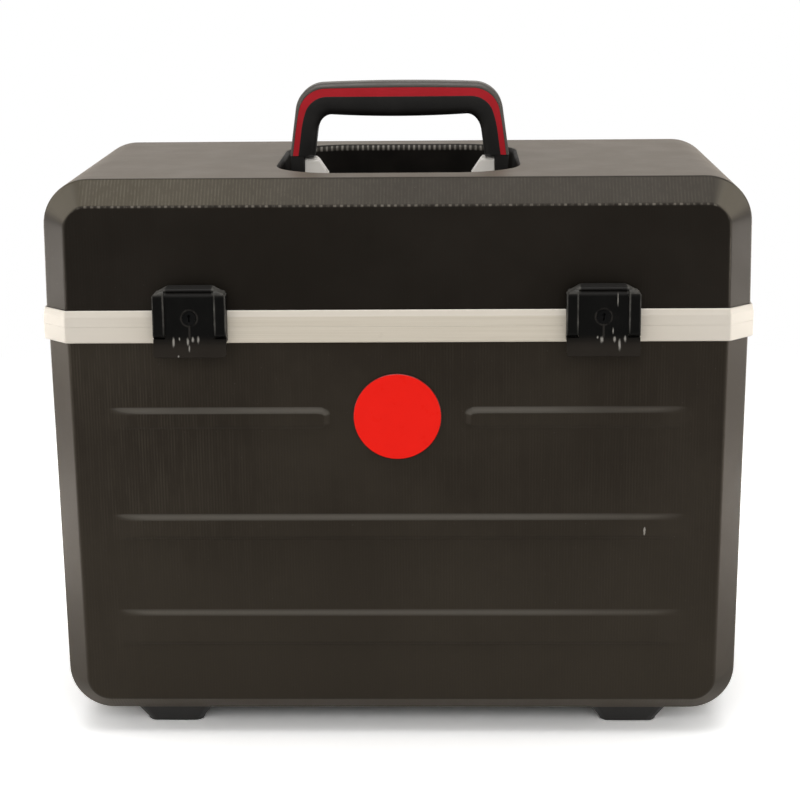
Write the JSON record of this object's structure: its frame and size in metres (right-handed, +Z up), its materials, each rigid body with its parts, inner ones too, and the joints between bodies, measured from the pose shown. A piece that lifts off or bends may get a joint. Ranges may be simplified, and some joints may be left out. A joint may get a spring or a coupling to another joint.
{
  "type": "hard tool case",
  "caption": "Hard-shell tool case with an aluminium parting frame, hinged lid, key latches, folding carry handle in a lid recess and a divided bottom tray.",
  "frame": {"origin": "middle of the case on the surface it stands on", "axes": "+X to the right of someone facing the latches, -Y out of the front with the latches, +Z up"},
  "size_m": [0.493, 0.2904, 0.4579],
  "materials": {
    "shell_plastic": "grained moulded ABS, dark brownish grey",
    "frame_metal": "satin anodised aluminium, warm silver",
    "disc_red": "plain glossy red disc",
    "foot_plastic": "black moulded plastic",
    "steel": "zinc plated steel",
    "rivet_metal": "bright aluminium",
    "tray_plastic": "fine grained black plastic",
    "divider_plastic": "dark grey plastic sheet",
    "seal_rubber": "matt black rubber",
    "bracket_plastic": "ivory white moulded plastic",
    "latch_black": "glossy black paint, chipped at the lip",
    "key_metal": "black key cylinder, worn at its rim",
    "handle_grey": "dark grey moulded plastic",
    "handle_red": "red soft plastic",
    "handle_black": "black soft grip"
  },
  "bodies": {
    "base": {"lower_shell": "shell_plastic", "lower_frame": "frame_metal", "front_disc": "disc_red", "feet": "foot_plastic", "foot_screws": "steel", "bottom_tray": "tray_plastic", "long_divider": "divider_plastic", "cross_dividers": "divider_plastic", "latch_strikes": "steel", "strike_rivets": "rivet_metal", "hinge_leaves_lower": "steel", "hinge_pins": "steel", "hinge_rivets_lower": "rivet_metal"},
    "lid": {"lid_shell": "shell_plastic", "lid_frame": "frame_metal", "lid_seal": "seal_rubber", "hinge_leaves_lid": "steel", "hinge_rivets_lid": "rivet_metal", "handle_brackets": "bracket_plastic", "handle_pins": "steel", "bracket_screws": "steel", "handle_plate": "steel", "latch_housing_left": "latch_black", "latch_housing_right": "latch_black", "latch_rivets": "rivet_metal", "latch_pin_left": "steel", "latch_pin_right": "steel"},
    "handle": {"handle_frame": "handle_grey", "handle_band": "handle_red", "handle_grip": "handle_black"},
    "latch_left": {"latch_lever_left": "latch_black", "latch_claw_left": "steel"},
    "latch_right": {"latch_lever_right": "latch_black", "latch_claw_right": "steel"},
    "lock_left": {"key_cylinder_left": "key_metal"},
    "lock_right": {"key_cylinder_right": "key_metal"}
  },
  "joints": [
    {"name": "lid_hinge", "type": "hinge", "parent": "base", "child": "lid", "pos_m": [0, 0.14205, 0.3015], "axis": [-1, 0, 0], "range_deg": [0, 100]},
    {"name": "handle_fold", "type": "hinge", "parent": "lid", "child": "handle", "pos_m": [0, 0.00355, 0.3905], "axis": [1, 0, 0], "range_deg": [-90, 90]},
    {"name": "latch_left_swing", "type": "hinge", "parent": "lid", "child": "latch_left", "pos_m": [-0.141, -0.13775, 0.3235], "axis": [-1, 0, 0], "range_deg": [0, 80]},
    {"name": "lock_left_turn", "type": "hinge", "parent": "latch_left", "child": "lock_left", "pos_m": [-0.141, -0.13145, 0.3098], "axis": [0, -1, 0], "range_deg": [0, 90]},
    {"name": "latch_right_swing", "type": "hinge", "parent": "lid", "child": "latch_right", "pos_m": [0.141, -0.13775, 0.3235], "axis": [-1, 0, 0], "range_deg": [0, 80]},
    {"name": "lock_right_turn", "type": "hinge", "parent": "latch_right", "child": "lock_right", "pos_m": [0.141, -0.13145, 0.3098], "axis": [0, -1, 0], "range_deg": [0, 90]}
  ]
}
